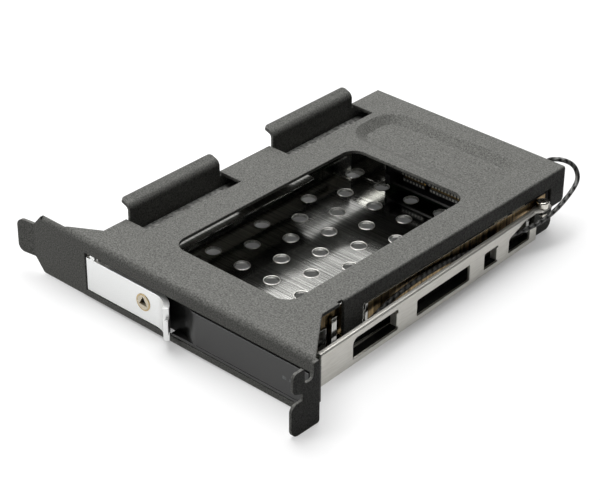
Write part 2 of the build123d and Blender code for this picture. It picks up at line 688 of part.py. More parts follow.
# Rivets through the frame's left wall and the cage's left wall
with BuildPart() as wall_rivets:
    for along in WALL_RIVET_YS:
        with BuildSketch(Plane.YZ.offset(PANEL_LEFT)):
            with Locations((along, TOP - LEFT_WALL_DROP + WALL_RIVET_RISE)):
                Circle(WALL_RIVET_RADIUS)
        extrude(amount=-WALL_RIVET_HEAD)
wall_rivets.part.label = "wall_rivets"
export_step(wall_rivets.part, "parts/wall_rivets.step")

# Hinge bracket: two ears behind the flange on one web
ear_top = TOP - OPENING_DROP + HINGE_GAP
ear_foot = TOP - OPENING_DROP - OPENING_HEIGHT - HINGE_GAP
with BuildPart() as hinge_bracket:
    for level in (ear_top, ear_foot - EAR_PLATE):
        with BuildSketch(Plane.XY.offset(level)):
            with BuildLine():
                Polyline(
                    (BRACKET_BACK - SHEET, SHEET),
                    (HINGE_X + HINGE_EAR_REACH, SHEET),
                    (HINGE_X + HINGE_EAR_REACH, HINGE_Y + HINGE_EAR_REACH),
                    (BRACKET_BACK - SHEET, HINGE_Y + HINGE_EAR_REACH),
                    close=True,
                )
            make_face()
            with Locations((HINGE_X, HINGE_Y)):
                Circle(PIN_DIAMETER / 2, mode=Mode.SUBTRACT)
        extrude(amount=EAR_PLATE)
    with BuildSketch(Plane.XY.offset(ear_foot)):
        with Locations((BRACKET_BACK - SHEET / 2, (SHEET + HINGE_Y + HINGE_EAR_REACH) / 2)):
            Rectangle(SHEET, HINGE_Y + HINGE_EAR_REACH - SHEET)
    extrude(amount=ear_top - ear_foot)
hinge_bracket.part.label = "hinge_bracket"
export_step(hinge_bracket.part, "parts/hinge_bracket.step")

# Hinge pin, fast in the bracket's ears
with BuildPart() as hinge_pin:
    with BuildSketch(Plane.XY.offset(ear_foot - EAR_PLATE)):
        with Locations((HINGE_X, HINGE_Y)):
            Circle(PIN_DIAMETER / 2)
    extrude(amount=ear_top - ear_foot + 2 * EAR_PLATE)
hinge_pin.part.label = "hinge_pin"
export_step(hinge_pin.part, "parts/hinge_pin.step")

# Door: pocket floor behind the lever, curved finger recess, front face and top edge
door_top = TOP - DOOR_DROP
door_foot = door_top - DOOR_HEIGHT
with BuildPart() as door_panel:
    with BuildSketch(Plane.XY.offset(door_foot)):
        with BuildLine():
            Polyline((HINGE_X, DOOR_BACK), (DOOR_RIGHT, DOOR_BACK), (DOOR_RIGHT, 0), (CURVE_END, 0))
            Spline((CURVE_END, 0), (CURVE_START, POCKET_FLOOR), tangents=[(-1, 0), (-1, 0)])
            Polyline((CURVE_START, POCKET_FLOOR), (HINGE_X, POCKET_FLOOR), (HINGE_X, DOOR_BACK))
        make_face()
        with Locations((HINGE_X, HINGE_Y)):
            Circle(KNUCKLE_RADIUS)
            Circle(PIN_DIAMETER / 2 + PIN_CLEARANCE, mode=Mode.SUBTRACT)
    extrude(amount=DOOR_HEIGHT)
    # Gaps for the lever's two lugs
    for drop in LUG_DROPS:
        with BuildSketch(Plane.XY.offset(TOP - drop - LUG_HEIGHT - LUG_CLEARANCE)):
            with Locations((HINGE_X, HINGE_Y)):
                Rectangle(5.4, 5.4)
        extrude(amount=LUG_HEIGHT + 2 * LUG_CLEARANCE, mode=Mode.SUBTRACT)
    # Pocket in which the lock's cam turns, open upwards
    with BuildSketch(Plane.XZ.offset(-POCKET_FLOOR)):
        with Locations((POCKET_LEFT + POCKET_WIDTH / 2, door_top - POCKET_HEIGHT / 2)):
            Rectangle(POCKET_WIDTH, POCKET_HEIGHT)
    extrude(amount=-POCKET_DEPTH, mode=Mode.SUBTRACT)
    # Hollow back of the front block
    with BuildSketch(Plane.XZ.offset(-DOOR_BACK)):
        hollow_right = GUIDE_XS[0] - GUIDE_WIDTH
        with Locations(((CURVE_END + hollow_right) / 2, door_foot + DOOR_HEIGHT / 2)):
            Rectangle(hollow_right - CURVE_END, DOOR_HEIGHT - 2 * HOLLOW_WALL)
    extrude(amount=HOLLOW_DEPTH, mode=Mode.SUBTRACT)
    # Seats of the two light guides
    with BuildSketch(Plane.XZ):
        for guide_x in GUIDE_XS:
            with Locations((guide_x, TOP - GUIDE_DROP)):
                Rectangle(GUIDE_WIDTH, GUIDE_HEIGHT)
    extrude(amount=-DOOR_BACK, mode=Mode.SUBTRACT)
    # Shelf that closes the finger recess below
    with BuildSketch(Plane.XY.offset(door_foot)):
        with Locations(((SHELF_LEFT + CURVE_END + 1) / 2, DOOR_BACK / 2)):
            Rectangle(CURVE_END + 1 - SHELF_LEFT, DOOR_BACK)
    extrude(amount=SHELF_HEIGHT)
    front_edges = door_panel.edges().filter_by(Axis.X).filter_by_position(Axis.Y, -0.01, 0.01)
    fillet(front_edges.sort_by(Axis.Z)[-1], 0.3)
    # Shallow groove above the door's foot
    with BuildSketch(Plane.XY.offset(door_foot + SHELF_HEIGHT)):
        with Locations(((CURVE_END + DOOR_RIGHT) / 2, 0)):
            Rectangle(DOOR_RIGHT - CURVE_END, 0.5)
    extrude(amount=0.25, mode=Mode.SUBTRACT)
door_panel.part.label = "door_panel"
export_step(door_panel.part, "parts/door_panel.step")

# Light guides in the door
with BuildPart() as light_guides:
    with BuildSketch(Plane.XZ):
        for guide_x in GUIDE_XS:
            with Locations((guide_x, TOP - GUIDE_DROP)):
                Rectangle(GUIDE_WIDTH, GUIDE_HEIGHT)
    extrude(amount=-(DOOR_BACK + GUIDE_TAIL))
light_guides.part.label = "light_guides"
export_step(light_guides.part, "parts/light_guides.step")

# Release lever: plate with a flared end, two hinge lugs, catch and stop block
lever_top = TOP - LEVER_DROP
lever_foot = lever_top - LEVER_HEIGHT
flare = radians(FLARE_ANGLE)
outer_end = (FLARE_START + FLARE_RADIUS * sin(flare), -FLARE_RADIUS * (1 - cos(flare)))
inner_radius = FLARE_RADIUS + LEVER_THICKNESS
inner_end = (FLARE_START + inner_radius * sin(flare), LEVER_THICKNESS - inner_radius * (1 - cos(flare)))
with BuildPart() as release_lever:
    with BuildSketch(Plane.XY.offset(lever_foot)):
        with BuildLine():
            Line((LEVER_LEFT + LEVER_CORNER, 0), (FLARE_START, 0))
            RadiusArc((FLARE_START, 0), outer_end, FLARE_RADIUS)
            Line(outer_end, inner_end)
            RadiusArc(inner_end, (FLARE_START, LEVER_THICKNESS), -inner_radius)
            Polyline((FLARE_START, LEVER_THICKNESS), (LEVER_LEFT, LEVER_THICKNESS), (LEVER_LEFT, LEVER_CORNER))
            RadiusArc((LEVER_LEFT, LEVER_CORNER), (LEVER_LEFT + LEVER_CORNER, 0), LEVER_CORNER)
        make_face()
    extrude(amount=LEVER_HEIGHT)
    with BuildSketch(Plane.XZ.offset(-LEVER_THICKNESS)):
        with Locations((LOCK_X, TOP - LOCK_DROP)):
            Circle(LOCK_DIAMETER / 2 + LOCK_CLEARANCE)
    extrude(amount=LEVER_THICKNESS, mode=Mode.SUBTRACT)
    with BuildSketch(Plane.XZ):
        with Locations((LOCK_X, TOP - LOCK_DROP)):
            Circle(RING_DIAMETER / 2)
    extrude(amount=-RING_SEAT, mode=Mode.SUBTRACT)
    with BuildSketch(Plane.XY.offset(lever_foot)):
        with Locations((HINGE_X, HINGE_Y)):
            Circle(KNUCKLE_RADIUS + KNUCKLE_RELIEF)
    extrude(amount=LEVER_HEIGHT, mode=Mode.SUBTRACT)
    for drop in LUG_DROPS:
        with BuildSketch(Plane.XY.offset(TOP - drop - LUG_HEIGHT)):
            with Locations((HINGE_X, HINGE_Y)):
                Circle(KNUCKLE_RADIUS)
            with Locations((HINGE_X, (LEVER_THICKNESS + HINGE_Y) / 2)):
                Rectangle(2 * KNUCKLE_RADIUS, HINGE_Y - LEVER_THICKNESS + 1.2)
            with Locations((HINGE_X, HINGE_Y)):
                Circle(PIN_DIAMETER / 2 + PIN_CLEARANCE, mode=Mode.SUBTRACT)
        extrude(amount=LUG_HEIGHT)
    with BuildSketch(Plane.XY.offset(lever_top)):
        with Locations((LEVER_LEFT + 1.9, LEVER_THICKNESS - 0.5)):
            Rectangle(2.0, 1.0)
    extrude(amount=0.7)
    catch_plane = Plane(
        origin=(inner_end[0], inner_end[1], lever_top - LEVER_HEIGHT / 2),
        x_dir=(sin(flare), cos(flare), 0),
        z_dir=(cos(flare), -sin(flare), 0),
    )
    with BuildSketch(catch_plane):
        with Locations((-0.5, 0)):
            Rectangle(1.0, CATCH_HEIGHT)
    extrude(amount=CATCH_REACH)
release_lever.part.label = "release_lever"
export_step(release_lever.part, "parts/release_lever.step")

# Lock ring, seated in the lever's front
with BuildPart() as lock_ring:
    with BuildSketch(Plane.XZ.offset(-RING_SEAT)):
        with Locations((LOCK_X, TOP - LOCK_DROP)):
            Circle(RING_DIAMETER / 2)
            Circle(LOCK_DIAMETER / 2 + LOCK_CLEARANCE, mode=Mode.SUBTRACT)
    extrude(amount=RING_SEAT + RING_PROUD)
lock_ring.part.label = "lock_ring"
export_step(lock_ring.part, "parts/lock_ring.step")

# Lock barrel with its three-sided keyway, and the cam stud behind it
with BuildPart() as lock_barrel:
    with BuildSketch(Plane.XZ.offset(RING_PROUD)):
        with Locations((LOCK_X, TOP - LOCK_DROP)):
            Circle(LOCK_DIAMETER / 2)
    extrude(amount=-(LEVER_THICKNESS + RING_PROUD + CAM_GAP))
    with BuildSketch(Plane.XZ.offset(RING_PROUD)):
        with Locations((LOCK_X, TOP - LOCK_DROP)):
            Triangle(a=KEYWAY_SIDE, b=KEYWAY_SIDE, c=KEYWAY_SIDE, rotation=0)
    extrude(amount=-KEYWAY_DEPTH, mode=Mode.SUBTRACT)
lock_barrel.part.label = "lock_barrel"
export_step(lock_barrel.part, "parts/lock_barrel.step")

# Lock cam, which turns up behind the flange
cam_front = LEVER_THICKNESS + CAM_GAP
with BuildPart() as lock_cam:
    with BuildSketch(Plane.XZ.offset(-cam_front)):
        with BuildLine():
            Polyline(
                (LOCK_X - CAM_WIDTH / 2, TOP - LOCK_DROP - CAM_WIDTH / 2),
                (LOCK_X + CAM_REACH, TOP - LOCK_DROP - CAM_WIDTH / 2),
                (LOCK_X + CAM_REACH, TOP - LOCK_DROP + CAM_WIDTH / 2),
                (LOCK_X - CAM_WIDTH / 2, TOP - LOCK_DROP + CAM_WIDTH / 2),
                close=True,
            )
        make_face()
    extrude(amount=-CAM_THICKNESS)
    fillet(lock_cam.edges().filter_by(Axis.Y), 0.8)
lock_cam.part.label = "lock_cam"
export_step(lock_cam.part, "parts/lock_cam.step")

# Screw that holds the cam to the barrel
with BuildPart() as cam_screw:
    with BuildSketch(Plane.XZ.offset(-(cam_front + CAM_THICKNESS))):
        with Locations((LOCK_X, TOP - LOCK_DROP)):
            Circle(1.5)
    extrude(amount=-CAM_SCREW_HEAD)
cam_screw.part.label = "cam_screw"
export_step(cam_screw.part, "parts/cam_screw.step")

# Ejector slide along the left wall, with the foot that pushes the drive out
slide_left = CAGE_LEFT + CAGE_SHEET + SLIDE_GAP
slide_middle = TOP - SLIDE_DROP - SLIDE_HEIGHT / 2
with BuildPart() as ejector_slide:
    with BuildSketch(Plane.YZ.offset(slide_left)):
        with Locations(((SLIDE_FRONT + SLIDE_REAR) / 2, slide_middle)):
            Rectangle(SLIDE_REAR - SLIDE_FRONT, SLIDE_HEIGHT)
        for stud_y in STUD_YS:
            with Locations((stud_y + SLIDE_TRAVEL / 2, slide_middle)):
                SlotOverall(
                    SLIDE_TRAVEL + 2 * STUD_RADIUS + 2 * STUD_PLAY,
                    2 * STUD_RADIUS + 2 * STUD_CLEARANCE,
                    mode=Mode.SUBTRACT,
                )
    extrude(amount=SLIDE_THICKNESS)
    with BuildSketch(Plane.XZ.offset(-(SLIDE_REAR - SLIDE_THICKNESS))):
        with Locations((slide_left + (SLIDE_THICKNESS + FOOT_REACH) / 2, slide_middle)):
            Rectangle(SLIDE_THICKNESS + FOOT_REACH, SLIDE_HEIGHT)
    extrude(amount=-SLIDE_THICKNESS)
ejector_slide.part.label = "ejector_slide"
export_step(ejector_slide.part, "parts/ejector_slide.step")

# Headed studs on the left wall that carry the slide
with BuildPart() as slide_studs:
    for stud_y in STUD_YS:
        with BuildSketch(Plane.YZ.offset(CAGE_LEFT + CAGE_SHEET)):
            with Locations((stud_y, slide_middle)):
                Circle(STUD_RADIUS)
        extrude(amount=SLIDE_GAP + SLIDE_THICKNESS + STUD_CLEARANCE)
        with BuildSketch(Plane.YZ.offset(slide_left + SLIDE_THICKNESS + STUD_CLEARANCE)):
            with Locations((stud_y, slide_middle)):
                Circle(STUD_HEAD_RADIUS)
        extrude(amount=STUD_HEAD)
slide_studs.part.label = "slide_studs"
export_step(slide_studs.part, "parts/slide_studs.step")

# Upright board behind the drive bay
with BuildPart() as backplane_board:
    with BuildSketch(Plane.XZ.offset(-BOARD_FRONT)):
        board_height = FLOOR_DROP - BOARD_TOP
        with Locations(((BOARD_LEFT + BOARD_RIGHT) / 2, floor_top + board_height / 2)):
            Rectangle(BOARD_RIGHT - BOARD_LEFT, board_height)
    extrude(amount=-BOARD_THICKNESS)
backplane_board.part.label = "backplane_board"
export_step(backplane_board.part, "parts/backplane_board.step")

# Screws at the board's lower corners
with BuildPart() as board_screws:
    for screw_x in (BOARD_LEFT + BOARD_SCREW_INSET, BOARD_RIGHT - BOARD_SCREW_INSET):
        with BuildSketch(Plane.XZ.offset(-BOARD_FRONT)):
            with Locations((screw_x, floor_top + BOARD_SCREW_RISE)):
                Circle(BOARD_SCREW_RADIUS)
        extrude(amount=BOARD_SCREW_HEAD)
board_screws.part.label = "board_screws"
export_step(board_screws.part, "parts/board_screws.step")

# Drive socket: body with two tongues for the drive's contacts and a key at each end
socket_middle = TOP - SOCKET_DROP - SOCKET_HEIGHT / 2
rows_length = sum(CONTACT_COUNTS) * CONTACT_PITCH + CONTACT_GAP
socket_width = rows_length + 2 * SOCKET_END
socket_left = BOARD_RIGHT - SOCKET_RIGHT_GAP - socket_width
socket_face = BOARD_FRONT - SOCKET_DEPTH
contact_rows = []
row_start = socket_left + SOCKET_END
for count in CONTACT_COUNTS:
    contact_rows.append((row_start + CONTACT_PITCH / 2, count))
    row_start += count * CONTACT_PITCH + CONTACT_GAP
with BuildPart() as drive_socket:
    with BuildSketch(Plane.XZ.offset(-BOARD_FRONT)):
        with Locations((socket_left + socket_width / 2, socket_middle)):
            Rectangle(socket_width, SOCKET_HEIGHT)
    extrude(amount=SOCKET_DEPTH)
    with BuildSketch(Plane.XZ.offset(-socket_face)):
        with Locations((socket_left + socket_width / 2, socket_middle)):
            Rectangle(rows_length + SOCKET_END, SOCKET_HEIGHT - 2 * SOCKET_WALL)
    extrude(amount=-(SOCKET_DEPTH - SOCKET_BACK), mode=Mode.SUBTRACT)
    for start, count in contact_rows:
        with BuildSketch(Plane.XZ.offset(-(BOARD_FRONT - SOCKET_BACK))):
            with Locations((start + (count - 1) * CONTACT_PITCH / 2, socket_middle)):
                Rectangle(count * CONTACT_PITCH, TONGUE_BOARD)
        extrude(amount=SOCKET_DEPTH - SOCKET_BACK - SOCKET_WALL)
    for end_x in (socket_left + KEY_WIDTH, socket_left + socket_width - KEY_WIDTH):
        with BuildSketch(Plane.XZ.offset(-socket_face)):
            with Locations((end_x, socket_middle)):
                Rectangle(KEY_WIDTH, KEY_HEIGHT)
        extrude(amount=KEY_LENGTH)
drive_socket.part.label = "drive_socket"
export_step(drive_socket.part, "parts/drive_socket.step")

# Gilt contacts on the tongues
with BuildPart() as drive_contacts:
    for start, count in contact_rows:
        for index in range(count):
            contact_height = socket_middle + (TONGUE_BOARD + CONTACT_HEIGHT) / 2
            with BuildSketch(Plane.XZ.offset(-(BOARD_FRONT - SOCKET_BACK))):
                with Locations((start + index * CONTACT_PITCH, contact_height)):
                    Rectangle(CONTACT_WIDTH, CONTACT_HEIGHT)
            extrude(amount=SOCKET_DEPTH - SOCKET_BACK - 2 * SOCKET_WALL)
drive_contacts.part.label = "drive_contacts"
export_step(drive_contacts.part, "parts/drive_contacts.step")

# Two ports on the board's rear: data and power
board_back = BOARD_FRONT + BOARD_THICKNESS
port_middle = TOP - PORT_DROP - PORT_HEIGHT / 2
port_widths = [count * CONTACT_PITCH + 2 * PORT_END for count in CONTACT_COUNTS]
port_lefts = [PORT_LEFT, PORT_LEFT + port_widths[0] + PORT_GAP]
with BuildPart() as data_port:
    with BuildSketch(Plane.XZ.offset(-board_back)):
        with Locations((port_lefts[0] + port_widths[0] / 2, port_middle)):
            Rectangle(port_widths[0], PORT_HEIGHT)
    extrude(amount=-PORT_DEPTH)
    with BuildSketch(Plane.XZ.offset(-(board_back + PORT_DEPTH))):
        with Locations((port_lefts[0] + port_widths[0] / 2, port_middle)):
            Rectangle(port_widths[0] - 2 * PORT_WALL, PORT_HEIGHT - 2 * PORT_WALL)
    extrude(amount=PORT_DEPTH - PORT_BACK, mode=Mode.SUBTRACT)
    with BuildSketch(Plane.XZ.offset(-(board_back + PORT_BACK))):
        with Locations((port_lefts[0] + port_widths[0] / 2, port_middle)):
            Rectangle(CONTACT_COUNTS[0] * CONTACT_PITCH, TONGUE_BOARD)
    extrude(amount=-(PORT_DEPTH - PORT_BACK - PORT_WALL))
data_port.part.label = "data_port"
export_step(data_port.part, "parts/data_port.step")

with BuildPart() as power_port:
    with BuildSketch(Plane.XZ.offset(-board_back)):
        with Locations((port_lefts[1] + port_widths[1] / 2, port_middle)):
            Rectangle(port_widths[1], PORT_HEIGHT)
    extrude(amount=-PORT_DEPTH)
    with BuildSketch(Plane.XZ.offset(-(board_back + PORT_DEPTH))):
        with Locations((port_lefts[1] + port_widths[1] / 2, port_middle)):
            Rectangle(port_widths[1] - 2 * PORT_WALL, PORT_HEIGHT - 2 * PORT_WALL)
    extrude(amount=PORT_DEPTH - PORT_BACK, mode=Mode.SUBTRACT)
    with BuildSketch(Plane.XZ.offset(-(board_back + PORT_BACK))):
        with Locations((port_lefts[1] + port_widths[1] / 2, port_middle)):
            Rectangle(CONTACT_COUNTS[1] * CONTACT_PITCH, TONGUE_BOARD)
    extrude(amount=-(PORT_DEPTH - PORT_BACK - PORT_WALL))
power_port.part.label = "power_port"
export_step(power_port.part, "parts/power_port.step")

with BuildPart() as port_contacts:
    for left, width, count in zip(port_lefts, port_widths, CONTACT_COUNTS):
        for index in range(count):
            contact_x = left + width / 2 + (index - (count - 1) / 2) * CONTACT_PITCH
            with BuildSketch(Plane.XZ.offset(-(board_back + PORT_BACK))):
                with Locations((contact_x, port_middle + (TONGUE_BOARD + CONTACT_HEIGHT) / 2)):
                    Rectangle(CONTACT_WIDTH, CONTACT_HEIGHT)
            extrude(amount=-(PORT_DEPTH - PORT_BACK - 2 * PORT_WALL))
port_contacts.part.label = "port_contacts"
export_step(port_contacts.part, "parts/port_contacts.step")

# Black housing behind the board, cut out round the ports and the lead's header
plug_middle = TOP - PLUG_DROP
housing_right = CAGE_RIGHT - CAGE_SHEET - HOUSING_GAP
with BuildPart() as rear_housing:
    with BuildSketch(Plane.XZ.offset(-board_back)):
        with Locations(((HOUSING_LEFT + housing_right) / 2, (floor_top + TOP - HOUSING_TOP) / 2)):
            Rectangle(housing_right - HOUSING_LEFT, FLOOR_DROP - HOUSING_TOP)
        for left, width in zip(port_lefts, port_widths):
            with Locations((left + width / 2, port_middle)):
                Rectangle(width + 2 * HOUSING_GAP, PORT_HEIGHT + 2 * HOUSING_GAP, mode=Mode.SUBTRACT)
        with Locations((PLUG_X, plug_middle)):
            header_wide = PLUG_WIDTH + 2 * HEADER_WALL + 2 * HOUSING_GAP
            header_high = PLUG_HEIGHT + 2 * HEADER_WALL + 2 * HOUSING_GAP
            Rectangle(header_wide, header_high, mode=Mode.SUBTRACT)
    extrude(amount=-HOUSING_DEPTH)
rear_housing.part.label = "rear_housing"
export_step(rear_housing.part, "parts/rear_housing.step")

# Header on the board's rear and the plug in it
with BuildPart() as lead_header:
    with BuildSketch(Plane.XZ.offset(-board_back)):
        with Locations((PLUG_X, plug_middle)):
            Rectangle(PLUG_WIDTH + 2 * HEADER_WALL, PLUG_HEIGHT + 2 * HEADER_WALL)
    extrude(amount=-HEADER_DEPTH)
    with BuildSketch(Plane.XZ.offset(-(board_back + HEADER_DEPTH))):
        with Locations((PLUG_X, plug_middle)):
            Rectangle(PLUG_WIDTH, PLUG_HEIGHT)
    extrude(amount=HEADER_DEPTH - HEADER_BACK, mode=Mode.SUBTRACT)
lead_header.part.label = "lead_header"
export_step(lead_header.part, "parts/lead_header.step")

with BuildPart() as lead_plug:
    with BuildSketch(Plane.XZ.offset(-(board_back + HEADER_BACK))):
        with Locations((PLUG_X, plug_middle)):
            Rectangle(PLUG_WIDTH - 2 * PLUG_PLAY, PLUG_HEIGHT - 2 * PLUG_PLAY)
    extrude(amount=-PLUG_LENGTH)
lead_plug.part.label = "lead_plug"
export_step(lead_plug.part, "parts/lead_plug.step")

# Lamp board across the rail's front end, with two lamps
lamp_board_foot = TOP - RAIL_FOOT
lamp_board_back = RAIL_FRONT_Y - RAIL_BASE_FRONT * sin(rail_turn)
with BuildPart() as lamp_board:
    with BuildSketch(Plane.XZ.offset(-lamp_board_back)):
        lamp_board_top = TOP - LAMP_BOARD_TOP
        with Locations((LAMP_BOARD_LEFT + LAMP_BOARD_WIDTH / 2, (lamp_board_foot + lamp_board_top) / 2)):
            Rectangle(LAMP_BOARD_WIDTH, lamp_board_top - lamp_board_foot)
    extrude(amount=LAMP_BOARD_THICKNESS)
lamp_board.part.label = "lamp_board"
export_step(lamp_board.part, "parts/lamp_board.step")

with BuildPart() as status_lamps:
    for lamp_x in LAMP_XS:
        with BuildSketch(Plane.XZ.offset(-(lamp_board_back - LAMP_BOARD_THICKNESS))):
            with Locations((lamp_x, TOP - GUIDE_DROP)):
                Circle(LAMP_RADIUS)
        extrude(amount=LAMP_LENGTH)
    fillet(status_lamps.edges().group_by(Axis.Y)[0], 0.6)
status_lamps.part.label = "status_lamps"
export_step(status_lamps.part, "parts/status_lamps.step")

# Spring catch on the door's back, which snaps behind the opening's right edge
with BuildPart() as door_catch:
    with BuildSketch(Plane.XY.offset(TOP - CATCH_CLIP_DROP - CATCH_CLIP_HEIGHT)):
        with BuildLine():
            Polyline(
                (CATCH_CLIP_LEFT, DOOR_BACK),
                (CATCH_CLIP_LEFT + CATCH_CLIP_LENGTH, DOOR_BACK),
                (CATCH_CLIP_LEFT + CATCH_CLIP_LENGTH, DOOR_BACK + CATCH_CLIP_SHEET),
                (CATCH_CLIP_LEFT + CATCH_CLIP_LENGTH - 1.0, DOOR_BACK + CATCH_CLIP_SHEET + CATCH_CLIP_BUMP),
                (CATCH_CLIP_LEFT + CATCH_CLIP_LENGTH - 2.4, DOOR_BACK + CATCH_CLIP_SHEET),
                (CATCH_CLIP_LEFT, DOOR_BACK + CATCH_CLIP_SHEET),
                close=True,
            )
        make_face()
    extrude(amount=CATCH_CLIP_HEIGHT)
door_catch.part.label = "door_catch"
export_step(door_catch.part, "parts/door_catch.step")

# Cream clips along the cage's right wall
with BuildPart() as wall_clips:
    for clip_y in CLIP_YS:
        with BuildSketch(Plane.XZ.offset(-clip_y)):
            with BuildLine():
                Polyline(
                    (CAGE_RIGHT - CLIP_WIDTH, TOP - CLIP_TOP),
                    (CAGE_RIGHT, TOP - CLIP_TOP),
                    (CAGE_RIGHT, TOP - CAGE_RIGHT_TOP),
                    (CAGE_RIGHT - CAGE_LIP_RIGHT, TOP - CAGE_RIGHT_TOP),
                    (CAGE_RIGHT - CAGE_LIP_RIGHT, TOP - CLIP_FOOT),
                    (CAGE_RIGHT - CLIP_WIDTH, TOP - CLIP_FOOT),
                    close=True,
                )
            make_face()
        extrude(amount=-CLIP_LENGTH)
wall_clips.part.label = "wall_clips"
export_step(wall_clips.part, "parts/wall_clips.step")

# Lamp lead: along the right wall, out through the rail's last opening, round the rear
# right corner and down to the plug behind the board
side = PANEL_RIGHT
rear = PANEL_DEPTH
lead_route = [
    (side + 1.6, lamp_board_back, TOP - 13.0),
    (side + 1.6, 21.0, TOP - 13.0),
    (side + 1.5, 31.0, TOP - 12.4),
    (side + 0.6, 43.5, TOP - 9.2),
    (side + 0.2, 54.0, TOP - 8.1),
    (side - 0.1, 66.0, TOP - 8.0),
    (side - 0.1, 77.0, TOP - 8.8),
    (side - 0.1, rear - 40.8, TOP - 11.2),
    (side - 0.1, rear - 27.8, TOP - 12.9),
    (side + 3.4, rear - 17.8, TOP - 11.8),
    (side + 4.3, rear - 9.6, TOP - 9.9),
    (side + 3.0, rear + 0.4, TOP - 7.8),
    (side + 1.0, rear + 6.6, TOP - 6.4),
    (side - 1.2, rear + 6.8, TOP - 2.6),
    (side - 4.2, rear + 3.4, TOP - 0.3),
    (side - 9.6, rear + 3.2, TOP - 2.6),
    (side - 12.0, rear + 0.6, TOP - 7.4),
    (PLUG_X, rear - 5.6, TOP - PLUG_DROP),
    (PLUG_X, board_back + HEADER_BACK + PLUG_LENGTH, TOP - PLUG_DROP),
]
lead_points = [Vector(*point) for point in lead_route]
lead_radii = []
for before, corner, after in zip(lead_points, lead_points[1:], lead_points[2:]):
    half_turn = radians((corner - before).get_angle(after - corner)) / 2
    shorter = min((corner - before).length, (after - corner).length)
    lead_radii.append(0.45 * shorter / tan(half_turn))
print("lead radii mm:", [round(radius, 1) for radius in lead_radii])
print("lead turns deg:", [
    round((b - a).get_angle(c - b), 1) for a, b, c in zip(lead_points, lead_points[1:], lead_points[2:])
])
with BuildPart() as lamp_lead:
    with BuildLine() as lead_path:
        FilletPolyline(*lead_points, radius=lead_radii)
    with BuildSketch(Plane(origin=lead_path.line @ 0, z_dir=lead_path.line % 0)):
        Circle(LEAD_DIAMETER / 2)
    sweep()
lead_section = pi * LEAD_DIAMETER**2 / 4
lead_length = sum(edge.length for edge in lead_path.edges())
print(
    "lead length mm:", round(lead_length, 2),
    "volume ratio:", round(lamp_lead.part.volume / (lead_section * lead_length), 4),
)
lamp_lead.part.label = "lamp_lead"
export_step(lamp_lead.part, "parts/lamp_lead.step")
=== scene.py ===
"""Visual scene of the expansion slot hard drive rack.

Blender's lengths are metres. The pieces are worked out in millimetres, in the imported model's
own frame, and scaled at the end.
"""

import math

import bmesh
import bpy
from mathutils import Matrix, Vector


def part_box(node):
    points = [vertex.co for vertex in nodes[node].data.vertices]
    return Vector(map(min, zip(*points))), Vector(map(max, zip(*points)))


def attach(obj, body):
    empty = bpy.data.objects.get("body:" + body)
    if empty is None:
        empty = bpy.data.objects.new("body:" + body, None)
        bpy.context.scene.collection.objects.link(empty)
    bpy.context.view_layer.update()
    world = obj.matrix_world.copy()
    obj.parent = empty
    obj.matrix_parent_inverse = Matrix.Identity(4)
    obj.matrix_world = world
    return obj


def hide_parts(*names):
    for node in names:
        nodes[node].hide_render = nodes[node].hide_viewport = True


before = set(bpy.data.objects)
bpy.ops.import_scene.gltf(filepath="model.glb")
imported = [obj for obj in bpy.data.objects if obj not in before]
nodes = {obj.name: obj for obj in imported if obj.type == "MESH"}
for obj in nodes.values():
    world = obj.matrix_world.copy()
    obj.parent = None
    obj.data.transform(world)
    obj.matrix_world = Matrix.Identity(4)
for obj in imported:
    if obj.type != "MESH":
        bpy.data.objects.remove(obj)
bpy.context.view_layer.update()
MM = 0.001

# Heights above the origin in millimetres: of the rack's top panel, of the upper face of the
# cage's floor, and of what the rack stands on
TOP = 9.8
CAGE_FLOOR = TOP - 17.5
STAND = TOP - 20.3


def linear(code):
    """Scene-linear colour of an sRGB hex code."""
    parts = [int(code[i : i + 2], 16) / 255 for i in (1, 3, 5)]
    flat = [c / 12.92 if c <= 0.04045 else ((c + 0.055) / 1.055) ** 2.4 for c in parts]
    return (*flat, 1.0)


def add(material, kind, inputs=(), **settings):
    """Adds a shader node, makes its settings, sets its constants and links its sockets."""
    tree = material.node_tree
    made = tree.nodes.new(kind)
    for name, value in settings.items():
        setattr(made, name, value)
    for socket, value in dict(inputs).items():
        if isinstance(value, bpy.types.NodeSocket):
            tree.links.new(value, made.inputs[socket])
        else:
            made.inputs[socket].default_value = value
    return made


def blank(name):
    """A new material without any nodes."""
    material = bpy.data.materials.new(name)
    material.use_nodes = True
    material.node_tree.nodes.clear()
    return material


def place(name, data):
    """A new object with this data, linked into the scene."""
    made = bpy.data.objects.new(name, data)
    bpy.context.scene.collection.objects.link(made)
    return made


# Size of the patches in which a finish shines more or less, and by how much its roughness drifts
PATCH_MM = 16
SHINE_DRIFT = 0.03
# A grain that is alike along all three axes
EVEN = (1, 1, 1)


